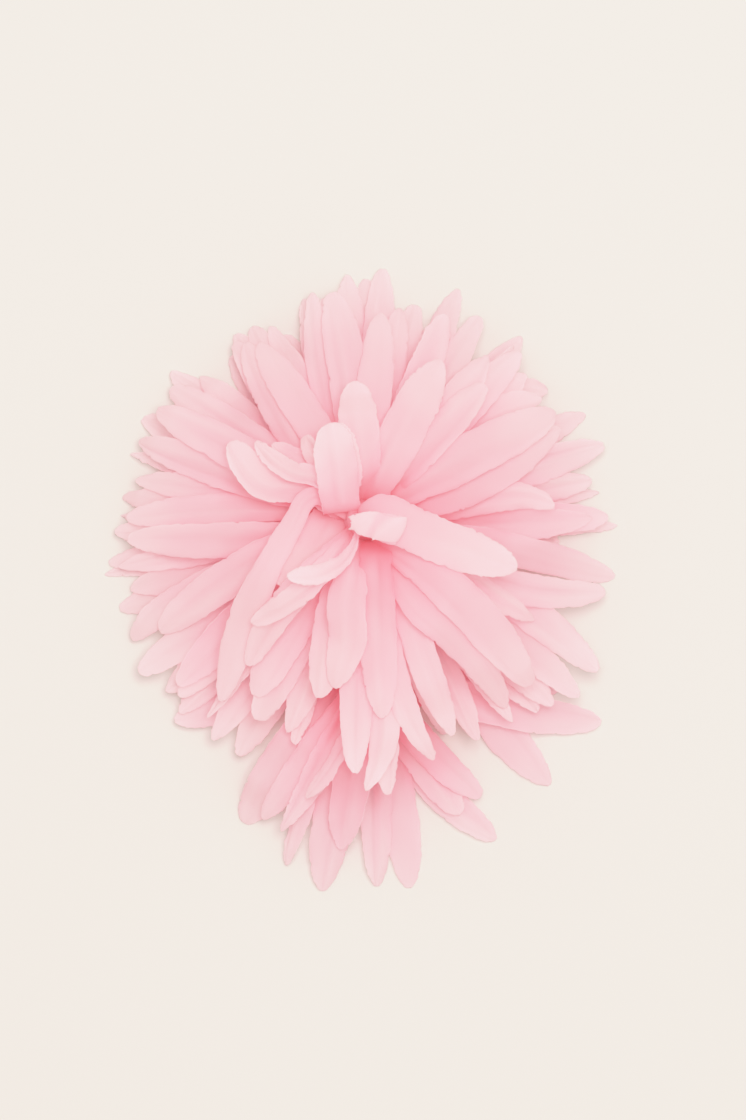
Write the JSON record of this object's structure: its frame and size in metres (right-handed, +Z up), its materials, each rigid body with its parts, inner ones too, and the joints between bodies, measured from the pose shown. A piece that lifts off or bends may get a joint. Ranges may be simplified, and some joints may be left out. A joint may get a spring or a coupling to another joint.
{
  "type": "fabric chrysanthemum flower",
  "caption": "Flower head of pale pink fabric strap petals in stacked rounds, with a fanned skirt and a flat felt back, for trimming or decoration.",
  "frame": {"origin": "middle of the underside of the bounding box, on the surface that the flower lies on", "axes": "+Z up out of the flower's face, +Y towards the top of the picture, away from the fanned skirt, +X to the right"},
  "size_m": [0.1288, 0.1564, 0.0407],
  "materials": {
    "petal_cloth": "thin matt polyester weave, blush pink, deeper rose towards the roots, frayed cut edges",
    "felt": "matt pink felt",
    "peg": "off-white moulded plastic"
  },
  "bodies": {
    "root": {"backing_felt": "felt", "centre_post": "peg", "petal_layer_01": "petal_cloth", "petal_layer_02": "petal_cloth", "petal_layer_03": "petal_cloth", "petal_layer_04": "petal_cloth", "petal_layer_05": "petal_cloth", "petal_layer_06": "petal_cloth", "petal_layer_07": "petal_cloth", "petal_layer_08": "petal_cloth", "petal_layer_09": "petal_cloth", "petal_layer_10": "petal_cloth", "petal_layer_11": "petal_cloth", "petal_layer_12": "petal_cloth", "petal_layer_13": "petal_cloth", "skirt_layer_1": "petal_cloth", "skirt_layer_2": "petal_cloth", "skirt_layer_3": "petal_cloth", "skirt_peg": "peg"}
  },
  "joints": []
}
